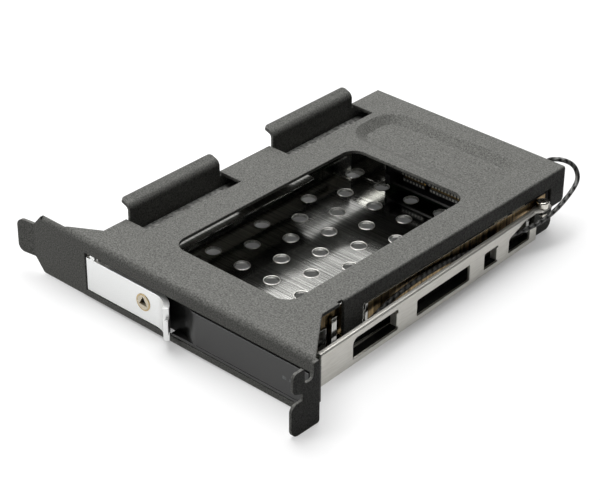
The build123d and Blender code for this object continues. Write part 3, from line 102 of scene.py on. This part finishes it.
def finish(
    name,
    dark,
    light,
    grain_mm,
    contrast,
    rough,
    depth_mm,
    edge_mm,
    stretch=EVEN,
    detail=2.0,
    **surface,
):
    """A finish with one grain that drives its colour and its relief, over slightly round edges.

    The grain's cells are grain_mm across, divided by stretch along each axis. Its middle
    range, contrast wide, runs from the dark colour to the light one. Its relief is depth_mm
    deep, and edges are shaded as if rounded by edge_mm. The roughness drifts a little from
    rough, as on any handled or rolled surface. The rest is set on the shader's own sockets.
    """
    material = blank(name)
    coords = add(material, "ShaderNodeTexCoord")
    spot = add(
        material,
        "ShaderNodeMapping",
        {"Vector": coords.outputs["Object"], "Scale": stretch},
    )
    grain = add(
        material,
        "ShaderNodeTexNoise",
        {"Vector": spot.outputs[0], "Scale": 1000 / grain_mm, "Detail": detail, "Roughness": 0.6},
    )
    level = add(
        material,
        "ShaderNodeMapRange",
        {
            "Value": grain.outputs[0],
            "From Min": 0.5 - contrast / 2,
            "From Max": 0.5 + contrast / 2,
        },
    )
    colour = add(
        material,
        "ShaderNodeMix",
        {0: level.outputs[0], 6: linear(dark), 7: linear(light)},
        data_type="RGBA",
    )
    drift = add(
        material,
        "ShaderNodeTexNoise",
        {"Vector": coords.outputs["Object"], "Scale": 1000 / PATCH_MM, "Detail": 2.0},
    )
    shine = add(
        material,
        "ShaderNodeMapRange",
        {
            "Value": drift.outputs[0],
            "From Min": 0.3,
            "From Max": 0.7,
            "To Min": rough - SHINE_DRIFT,
            "To Max": rough + SHINE_DRIFT,
        },
    )
    edge = add(material, "ShaderNodeBevel", {"Radius": edge_mm * MM}, samples=6)
    bump = add(
        material,
        "ShaderNodeBump",
        {"Height": grain.outputs[0], "Distance": depth_mm * MM, "Normal": edge.outputs[0]},
    )
    inputs = {
        "Base Color": colour.outputs[2],
        "Roughness": shine.outputs[0],
        "Normal": bump.outputs[0],
    }
    for key, value in surface.items():
        inputs[key.replace("_", " ").title().replace("Ior", "IOR")] = value
    principled = add(material, "ShaderNodeBsdfPrincipled", inputs)
    add(material, "ShaderNodeOutputMaterial", {"Surface": principled.outputs[0]})
    return material


# Grains whose comment names no size are finer than 0.1 mm on the real part, and are drawn as
# coarse as their grain_mm says, so that they show close up.

# Powder-coated steel, baked: a dark satin skin with an orange peel of fine pale specks. The
# real specks are about 0.1 mm across and are drawn at 0.45 mm so that they show.
powder = finish(
    "powder_coated_steel", "#393937", "#787874", grain_mm=0.45, contrast=0.48, rough=0.52,
    depth_mm=0.042, edge_mm=0.45, specular_ior_level=0.1,
)
# Stainless sheet, brushed across the bay before it was folded: dark mirror with fine pale lines
# along X in the floor and upwards in the walls. The real lines lie about 0.05 mm apart and are
# drawn at 0.7 mm.
stainless = finish(
    "brushed_stainless_steel", "#8f8f8b", "#d8d8d4", grain_mm=0.7, contrast=0.5, rough=0.11,
    depth_mm=0.011, edge_mm=0.3, stretch=(0.02, 1, 0.02), metallic=1.0,
)
# Stainless edge rolled over by the punch: satin, and paler than the sheet as a painted highlight
rim_steel_painted_highlight = finish(
    "rolled_edge_painted_highlight", "#d4d2cc", "#eae8e3", grain_mm=0.4, contrast=0.5, rough=0.3,
    depth_mm=0.001, edge_mm=0.05, metallic=1.0,
)
# Stainless mill finish, not brushed: dull grey with dark and pale mottles of about 1 mm
mottled = finish(
    "unbrushed_stainless_steel", "#4e4e4c", "#b4b4b0", grain_mm=1.1, contrast=0.35, rough=0.5,
    depth_mm=0.01, edge_mm=0.05, detail=3.0, metallic=0.25,
)
# Stainless with a painted reflection in its colour: yellow-brown metal with upright darker
# stripes about 1.5 mm apart
reflection_steel = finish(
    "stainless_painted_reflection", "#382d1c", "#b09870", grain_mm=1.5, contrast=0.4, rough=0.28,
    depth_mm=0.01, edge_mm=0.05, stretch=(1, 1, 0.03), detail=1.0, metallic=1.0,
)
# Zinc plating on rolled steel: bright but cloudy, slightly warm, with lines along the rail
zinc = finish(
    "zinc_plated_steel", "#d4d1c9", "#e9e7e0", grain_mm=0.5, contrast=0.5, rough=0.42,
    depth_mm=0.006, edge_mm=0.3, stretch=(1, 0.08, 1), detail=3.0, metallic=0.65,
)
# Nickel plating on turned fasteners: smooth, yellowish grey
nickel = finish(
    "nickel_plated_steel", "#bfbab0", "#dad7cf", grain_mm=0.6, contrast=0.5, rough=0.2,
    depth_mm=0.002, edge_mm=0.15, metallic=1.0,
)
# Cast lever with a silver-white baked coat: pale and even, faintly satin
lever_coat = finish(
    "silver_white_coat", "#eeefee", "#f8f9f8", grain_mm=0.3, contrast=0.6, rough=0.34,
    depth_mm=0.002, edge_mm=0.2, metallic=0.7,
)
# Moulded ABS with a satin skin: deep black, smoother than the powder coat
door_plastic = finish(
    "moulded_black_abs", "#1f1f1e", "#2c2c2b", grain_mm=0.3, contrast=0.6, rough=0.36,
    depth_mm=0.003, edge_mm=0.2,
)
# Bronze ring, turned: pale yellow-brown metal
bronze = finish(
    "turned_bronze", "#a8916a", "#cdb88f", grain_mm=0.4, contrast=0.5, rough=0.3,
    depth_mm=0.002, edge_mm=0.1, metallic=1.0,
)
# Lock barrel's face, die-cast and polished: pale warm grey
barrel_face = finish(
    "polished_zinc_casting", "#cfc4ad", "#e0d7c3", grain_mm=0.4, contrast=0.5, rough=0.28,
    depth_mm=0.001, edge_mm=0.1, metallic=0.5,
)
# Moulded nylon of sockets and housings: flat black
socket_black = finish(
    "moulded_black_nylon", "#131313", "#1e1e1e", grain_mm=0.3, contrast=0.6, rough=0.45,
    depth_mm=0.002, edge_mm=0.1,
)
# Black sheet of painted shade: thin and smooth
shade_black = finish(
    "flat_black_shade", "#0b0b0b", "#141414", grain_mm=0.5, contrast=0.6, rough=0.3,
    depth_mm=0.001, edge_mm=0.05, detail=1.0,
)
# Gold plating on stamped contacts: smooth and deep yellow
gilt = finish(
    "gold_plated_brass", "#c49a45", "#e0bd6c", grain_mm=0.3, contrast=0.5, rough=0.25,
    depth_mm=0.001, edge_mm=0.05, metallic=1.0,
)
# Tin plating on contact tails: dull pale grey
tinned = finish(
    "tin_plated_brass", "#8e8e89", "#a2a29c", grain_mm=0.3, contrast=0.5, rough=0.5,
    depth_mm=0.001, edge_mm=0.05, metallic=0.3,
)
# Solder mask on glass fibre: dark green gloss with a faint weave of 0.6 mm
board_green = finish(
    "green_solder_mask", "#113a22", "#1b4c2f", grain_mm=0.6, contrast=0.6, rough=0.3,
    depth_mm=0.002, edge_mm=0.1,
)
# Moulded nylon, uncoloured: cream and waxy
cream = finish(
    "cream_nylon", "#d6cbab", "#e6dcc0", grain_mm=0.5, contrast=0.6, rough=0.45,
    depth_mm=0.002, edge_mm=0.15,
)
# Moulded polycarbonate of the lamps: milky and clear
lens = finish(
    "milky_polycarbonate", "#9fa5a4", "#bcc2c0", grain_mm=0.6, contrast=0.6, rough=0.2,
    depth_mm=0.002, edge_mm=0.1, detail=1.0, subsurface_weight=0.2,
)
# Smoked polycarbonate of the door's light guides: dark grey and clear, hardly lighter than the
# door
smoked = finish(
    "smoked_polycarbonate", "#565957", "#6a6d6b", grain_mm=0.6, contrast=0.6, rough=0.2,
    depth_mm=0.002, edge_mm=0.1, detail=1.0, subsurface_weight=0.1,
)

# Ridges of the twisted lead. A wave texture draws 20 / tau bands in each of its units, so a
# unit of 5.61 mm puts them 1.76 mm apart.
RIDGE_UNIT_MM = 5.61
RIDGE_DEPTH_MM = 0.25
# Their slant, in radians
SLANT = (0.6, 0.0, 0.5)


def sleeve_finish():
    """PVC over twisted wires: black, with slanting ridges whose pale crests are a painted
    highlight.
    """
    material = blank("black_twisted_pvc")
    coords = add(material, "ShaderNodeTexCoord")
    turned = add(
        material,
        "ShaderNodeMapping",
        {"Vector": coords.outputs["Object"], "Rotation": SLANT},
    )
    ridges = add(
        material,
        "ShaderNodeTexWave",
        {"Vector": turned.outputs[0], "Scale": 1000 / RIDGE_UNIT_MM, "Distortion": 0.4},
        bands_direction="Y",
    )
    # Pale crests of the ridges: painted highlight
    colour = add(
        material,
        "ShaderNodeMix",
        {0: ridges.outputs["Fac"], 6: linear("#0a0a0a"), 7: linear("#6e6e6b")},
        data_type="RGBA",
    )
    bump = add(
        material,
        "ShaderNodeBump",
        {"Height": ridges.outputs["Fac"], "Distance": RIDGE_DEPTH_MM * MM},
    )
    principled = add(
        material,
        "ShaderNodeBsdfPrincipled",
        {"Base Color": colour.outputs[2], "Roughness": 0.38, "Normal": bump.outputs[0]},
    )
    add(material, "ShaderNodeOutputMaterial", {"Surface": principled.outputs[0]})
    return material


sleeve = sleeve_finish()

finishes = {
    "slot_frame": powder,
    "drive_cage": stainless,
    "side_rail": zinc,
    "rail_screw": nickel,
    "rail_nut": nickel,
    "rail_rivets": nickel,
    "wall_rivets": nickel,
    "hinge_bracket": zinc,
    "hinge_pin": nickel,
    "backplane_board": board_green,
    "board_screws": nickel,
    "drive_socket": socket_black,
    "drive_contacts": gilt,
    "data_port": socket_black,
    "power_port": socket_black,
    "port_contacts": gilt,
    "rear_housing": socket_black,
    "wall_clips": cream,
    "slide_studs": nickel,
    "lamp_board": board_green,
    "status_lamps": lens,
    "lead_plug": socket_black,
    "lead_header": cream,
    "door_panel": door_plastic,
    "light_guides": smoked,
    "door_catch": stainless,
    "release_lever": lever_coat,
    "lock_ring": bronze,
    "lock_barrel": barrel_face,
    "lock_cam": zinc,
    "cam_screw": nickel,
    "ejector_slide": zinc,
}
for node_name, material in finishes.items():
    mesh = nodes[node_name].data
    mesh.materials.clear()
    mesh.materials.append(material)


def piece(name, builder, material, body):
    """A new mesh piece made by builder(bm), with one material, on one body."""
    made = bmesh.new()
    builder(made)
    mesh = bpy.data.meshes.new(name)
    made.to_mesh(mesh)
    made.free()
    mesh.materials.append(material)
    shown = place(name, mesh)
    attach(shown, body)
    return shown


# Lamp lead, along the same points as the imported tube
LEAD_POINTS = [
    (107.6, 11.658, -3.2),
    (107.6, 21.0, -3.2),
    (107.5, 31.0, -2.6),
    (106.6, 43.5, 0.6),
    (106.2, 54.0, 1.7),
    (105.9, 66.0, 1.8),
    (105.9, 77.0, 1.0),
    (105.9, 89.5, -1.4),
    (105.9, 102.5, -3.1),
    (109.4, 112.5, -2.0),
    (110.3, 120.7, -0.1),
    (109.0, 130.7, 2.0),
    (107.0, 136.9, 3.4),
    (104.8, 137.1, 7.2),
    (101.8, 133.7, 9.5),
    (96.4, 133.5, 7.2),
    (94.0, 130.9, 2.4),
    (94.0, 124.7, 1.2),
    (94.0, 118.0, 1.2),
]
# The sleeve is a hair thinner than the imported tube
LEAD_RADIUS = 0.74
lead_curve = bpy.data.curves.new("lamp_lead_sleeve", "CURVE")
lead_curve.dimensions = "3D"
lead_spline = lead_curve.splines.new("NURBS")
lead_spline.points.add(len(LEAD_POINTS) - 1)
for point, (x, y, z) in zip(lead_spline.points, LEAD_POINTS):
    point.co = (x * MM, y * MM, z * MM, 1.0)
lead_spline.order_u = 3
lead_spline.use_endpoint_u = True
lead_spline.resolution_u = 12
lead_curve.bevel_depth = LEAD_RADIUS * MM
lead_curve.bevel_resolution = 6
lead_curve.use_fill_caps = True
lead_curve.materials.append(sleeve)
lead = place("lamp_lead_sleeve", lead_curve)
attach(lead, "frame")
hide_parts("lamp_lead")


# Reach of the keyway's corners from the lock's middle, less a little play, and the thickness
# and middle of the plate that closes its bottom
KEYWAY = 1.83
KEYWAY_PLATE = 0.5
KEYWAY_PLACE = (53.3, 1.15, TOP - 11.2)


def keyway_painted_shade(made):
    """Dark plate at the bottom of the lock's three-sided keyway, as painted shade in the recess.
    """
    bmesh.ops.create_cone(
        made, cap_ends=True, segments=3, radius1=KEYWAY, radius2=KEYWAY, depth=KEYWAY_PLATE
    )
    stand = Matrix.Rotation(math.radians(90), 3, "X")
    bmesh.ops.rotate(made, verts=made.verts, matrix=stand)
    # One corner has to point up, and a corner that points down reaches lower than a flat side
    lowest = min(vert.co.z for vert in made.verts)
    if lowest < -0.6 * KEYWAY:
        half_turn = Matrix.Rotation(math.radians(180), 3, "Y")
        bmesh.ops.rotate(made, verts=made.verts, matrix=half_turn)
    bmesh.ops.translate(made, verts=made.verts, vec=KEYWAY_PLACE)
    bmesh.ops.scale(made, verts=made.verts, vec=(MM, MM, MM))


keyway_shade = piece("keyway_painted_shade", keyway_painted_shade, socket_black, "lock")


def block(made, low, high, round_mm):
    """A box between two corners in millimetres, with its edges rounded."""
    bmesh.ops.create_cube(made, size=1.0)
    size = [b - a for a, b in zip(low, high)]
    middle_point = [(a + b) / 2 for a, b in zip(low, high)]
    bmesh.ops.scale(made, verts=made.verts, vec=size)
    bmesh.ops.translate(made, verts=made.verts, vec=middle_point)
    bmesh.ops.bevel(
        made,
        geom=made.edges[:],
        offset=round_mm,
        offset_type="OFFSET",
        affect="EDGES",
        segments=2,
        profile=0.5,
        material=-1,
    )
    bmesh.ops.scale(made, verts=made.verts, vec=(MM, MM, MM))


def wall_end_painted_shade(made):
    """Dark block at the rear end of the frame's left wall, which closes the gap behind the second
    wing as painted shade.
    """
    block(made, (29.9, 119.9, -2.2), (30.9, 129.6, 9.0), 0.1)


def housing_corner_painted_shade(made):
    """Black block on the corner of the rear housing, behind the right wall's cut-out, as painted
    shade seen through the cut-out.
    """
    block(made, (98.0, 122.1, -7.5), (103.9, 126.4, 4.4), 0.3)


def lip_strip(made):
    """Inner part of the cage's left lip, under the window's left edge."""
    block(made, (38.4, 12.0, 3.15), (46.9, 80.0, 3.88), 0.15)


def lip_hem(made):
    """Hem folded back on the cage's left lip, seen through the wings' cuts."""
    block(made, (31.0, 20.0, 3.88), (35.6, 122.8, 5.2), 0.3)


def corner_leaf_painted_reflection(made):
    """Thin leaf inside the cage's front right corner, which stands on the floor and carries a
    painted yellow-brown reflection.
    """
    block(made, (103.5, 13.5, -7.72), (103.7, 31.0, 7.0), 0.05)


def reflection_skin(made):
    """Thin outer skin on the cage's right wall, beside the lead, which carries a painted
    yellow-brown reflection.
    """
    block(made, (104.96, 38.0, -2.5), (105.04, 122.0, 3.3), 0.02)


# Black sheet of painted shade on the rail's base: its width, length and thickness, its middle,
# and its turn to the rail's own slant in degrees
SHADE_SIZE = (3.4, 92.0, 0.06)
SHADE_PLACE = (106.2, 70.0, TOP - 18.27)
SHADE_TURN = 1.9


def shade_under_windows(made):
    """Black sheet on the rail's base, behind its windows, that paints the shade there."""
    bmesh.ops.create_cube(made, size=1.0)
    bmesh.ops.scale(made, verts=made.verts, vec=SHADE_SIZE)
    slant = Matrix.Rotation(math.radians(SHADE_TURN), 3, "Z")
    bmesh.ops.rotate(made, verts=made.verts, matrix=slant)
    bmesh.ops.translate(made, verts=made.verts, vec=SHADE_PLACE)
    bmesh.ops.scale(made, verts=made.verts, vec=(MM, MM, MM))


piece("wall_end_painted_shade", wall_end_painted_shade, powder, "frame")
piece("cage_lip_hem", lip_hem, mottled, "frame")
# Yellow-brown painted reflection on the corner leaf and on the right wall's skin
piece("corner_leaf_painted_reflection", corner_leaf_painted_reflection, reflection_steel, "frame")
piece("cage_wall_painted_reflection", reflection_skin, reflection_steel, "frame")
piece("rail_base_shade", shade_under_windows, shade_black, "frame")
piece("housing_corner_painted_shade", housing_corner_painted_shade, socket_black, "frame")
piece("cage_lip_strip", lip_strip, stainless, "frame")

# Contact rows of the drive socket: counts, pitch and contact width, as in the source
ROWS = (7, 15)
PITCH = 1.27
CONTACT = 0.7
# Length of the socket's keys, and of the tongues in front of the contacts
KEY = 2.6
BARE = 0.8
# Size of one contact's end, and its depth under the socket's upper face
CONTACT_END = (0.62, 0.24, 0.66)
END_DEPTH = 0.4


def contact_ends(made):
    """Ends of the socket's contacts, in its upper rim and at the front of its tongues."""
    low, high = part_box("drive_contacts")
    socket_low, socket_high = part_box("drive_socket")
    left = low[0] / MM + CONTACT / 2
    right = high[0] / MM - CONTACT / 2
    columns = [left + index * PITCH for index in range(ROWS[0])]
    columns += [right - index * PITCH for index in range(ROWS[1])]
    rim = (socket_low[1] / MM + KEY, socket_high[2] / MM - END_DEPTH)
    tongue = (low[1] / MM - BARE, (socket_low[2] + socket_high[2]) / 2 / MM)
    for x in columns:
        for y, z in (rim, tongue):
            cube = bmesh.ops.create_cube(made, size=1.0)
            bmesh.ops.scale(made, verts=cube["verts"], vec=CONTACT_END)
            bmesh.ops.translate(made, verts=cube["verts"], vec=(x, y, z))
    bmesh.ops.scale(made, verts=made.verts, vec=(MM, MM, MM))


piece("contact_ends", contact_ends, tinned, "frame")

# Holes of the cage's floor, as in the source: the first one's place, the steps across and
# along, the counts across and along, and the radius
FIRST_HOLE = (41.1, 19.1)
HOLE_STEPS = (12.1711, 21.6)
HOLE_COUNTS = (5, 9)
HOLE_RADIUS = 2.35
# Half the thickness of the rim that the punch left round each hole
RIM = 0.15


def hole_rims(made):
    """A half-sunk ring round each hole. Every second row is shifted by half a step."""
    upright = Matrix.Rotation(math.radians(90), 4, "X")
    beside = Vector((HOLE_RADIUS + RIM, 0, 0))
    for column in range(HOLE_COUNTS[0]):
        for row in range(HOLE_COUNTS[1]):
            shift = 0.5 * (row % 2)
            x = FIRST_HOLE[0] + (column + shift) * HOLE_STEPS[0]
            y = FIRST_HOLE[1] + row * HOLE_STEPS[1] / 2
            where = Vector((x, y, CAGE_FLOOR))
            section = Matrix.Translation(where + beside) @ upright
            ring = bmesh.ops.create_circle(made, segments=8, radius=RIM, matrix=section)
            edges = list({edge for vert in ring["verts"] for edge in vert.link_edges})
            bmesh.ops.spin(
                made,
                geom=edges,
                cent=where,
                axis=(0, 0, 1),
                dvec=(0, 0, 0),
                angle=math.radians(360),
                steps=20,
                use_merge=True,
                use_duplicate=False,
            )
    bmesh.ops.recalc_face_normals(made, faces=made.faces)
    bmesh.ops.scale(made, verts=made.verts, vec=(MM, MM, MM))
    # The spins leave the faces in another order on each run, so they are put in a fixed one
    fixed = sorted(made.faces, key=lambda face: tuple(face.calc_center_median()))
    for index, face in enumerate(fixed):
        face.index = index
        face.smooth = True
    made.faces.sort()


rims = piece("floor_hole_rims", hole_rims, rim_steel_painted_highlight, "frame")

# White paper floor. To the camera and in metal it is white: it keeps the rack's shadow near the
# rack, and glows by itself further away. It throws back less light than it shows, as paper cut
# to the rack's outline would.

# Half the paper's side in metres
PAPER_REACH = 3.0
# Oval in which the shadow is kept: its middle and its half widths in metres
OVAL_MIDDLE = (0.0528, 0.075)
OVAL = (0.060, 0.075)
# Where the glow begins and where it is full, in half widths, and its share there
GLOW_FROM, GLOW_TO = 0.8, 1.25
GLOW_NEAR, GLOW_FAR = 0.05, 0.5

floor_mesh = bpy.data.meshes.new("studio_floor")
made = bmesh.new()
bmesh.ops.create_grid(made, x_segments=1, y_segments=1, size=PAPER_REACH)
bmesh.ops.translate(made, verts=made.verts, vec=(0, 0, STAND * MM))
made.to_mesh(floor_mesh)
made.free()
floor = place("studio_floor", floor_mesh)
paper = blank("white_studio_paper")
white_face = add(paper, "ShaderNodeBsdfDiffuse", {"Color": linear("#f6f6f6")})
grey_face = add(paper, "ShaderNodeBsdfDiffuse", {"Color": linear("#303030")})
glow = add(paper, "ShaderNodeEmission", {"Strength": 1.0})
spot = add(paper, "ShaderNodeTexCoord")
oval = add(
    paper,
    "ShaderNodeMapping",
    {
        "Vector": spot.outputs["Object"],
        "Location": (-OVAL_MIDDLE[0] / OVAL[0], -OVAL_MIDDLE[1] / OVAL[1], 0.0),
        "Scale": (1 / OVAL[0], 1 / OVAL[1], 0.0),
    },
)
away = add(paper, "ShaderNodeVectorMath", {0: oval.outputs[0]}, operation="LENGTH")
share = add(
    paper,
    "ShaderNodeMapRange",
    {
        "Value": away.outputs["Value"],
        "From Min": GLOW_FROM,
        "From Max": GLOW_TO,
        "To Min": GLOW_NEAR,
        "To Max": GLOW_FAR,
    },
)
lit = add(
    paper,
    "ShaderNodeMixShader",
    {0: share.outputs[0], 1: white_face.outputs[0], 2: glow.outputs[0]},
)
ray = add(paper, "ShaderNodeLightPath")
straight = add(
    paper,
    "ShaderNodeMath",
    {0: ray.outputs["Is Camera Ray"], 1: ray.outputs["Is Glossy Ray"]},
    operation="ADD",
)
shown = add(
    paper,
    "ShaderNodeMath",
    {0: straight.outputs[0], 1: ray.outputs["Is Transmission Ray"]},
    operation="ADD",
    use_clamp=True,
)
laid = add(
    paper,
    "ShaderNodeMixShader",
    {0: shown.outputs[0], 1: grey_face.outputs[0], 2: lit.outputs[0]},
)
add(paper, "ShaderNodeOutputMaterial", {"Surface": laid.outputs[0]})
floor_mesh.materials.append(paper)

# Dim room round the white floor
world = bpy.data.worlds.new("studio")
bpy.context.scene.world = world
world.use_nodes = True
room = world.node_tree.nodes["Background"]
room.inputs["Color"].default_value = (1, 1, 1, 1)
room.inputs["Strength"].default_value = 0.025


def lamp(name, where, target, size, power):
    """A square area light, size metres wide and power watts strong, that faces its target."""
    data = bpy.data.lights.new(name, "AREA")
    data.shape = "SQUARE"
    data.size = size
    data.energy = power
    made = place(name, data)
    made.location = Vector(where)
    made.rotation_mode = "QUATERNION"
    made.rotation_quaternion = (Vector(target) - Vector(where)).to_track_quat("-Z", "Y")
    return made


middle = (0.07, 0.06, 0.0)
key = lamp("rear_softbox", (-0.32, 0.36, 0.89), middle, 0.95, 13.5)
top = lamp("overhead_softbox", (-0.12, -0.1, 0.95), middle, 0.6, 3.2)
front = lamp("front_left_fill", (-0.45, -0.65, 0.30), middle, 0.5, 3.9)
card = lamp("rear_left_card", (-0.64, 0.85, 0.56), middle, 1.2, 2.9)

# Camera, fitted to the photo: its angles in degrees, and the point it aims at and its distance
# from there in millimetres
AZIMUTH, ELEVATION, ROLL = 42.128, 31.642, -0.417
TARGET = Vector((79.09, 37.99, TOP))
DISTANCE = 560.53
a, e, r = (math.radians(v) for v in (AZIMUTH, ELEVATION, ROLL))
right = Vector((math.cos(a), math.sin(a), 0))
ahead = Vector((-math.sin(a) * math.cos(e), math.cos(a) * math.cos(e), -math.sin(e)))
down = ahead.cross(right)
right_rolled = math.cos(r) * right + math.sin(r) * down
down_rolled = -math.sin(r) * right + math.cos(r) * down
camera_data = bpy.data.cameras.new("photo_camera")
camera_data.sensor_width = 36.0
camera_data.lens = 117.12
camera_data.clip_start = 0.01
camera_data.clip_end = 10.0
camera = place("photo_camera", camera_data)
columns = (right_rolled, -down_rolled, -ahead)
turn = Matrix([[column[row] for column in columns] for row in range(3)]).to_4x4()
camera.matrix_world = Matrix.Translation((TARGET - ahead * DISTANCE) * MM) @ turn
scene = bpy.context.scene
scene.camera = camera
scene.view_settings.view_transform = "Standard"
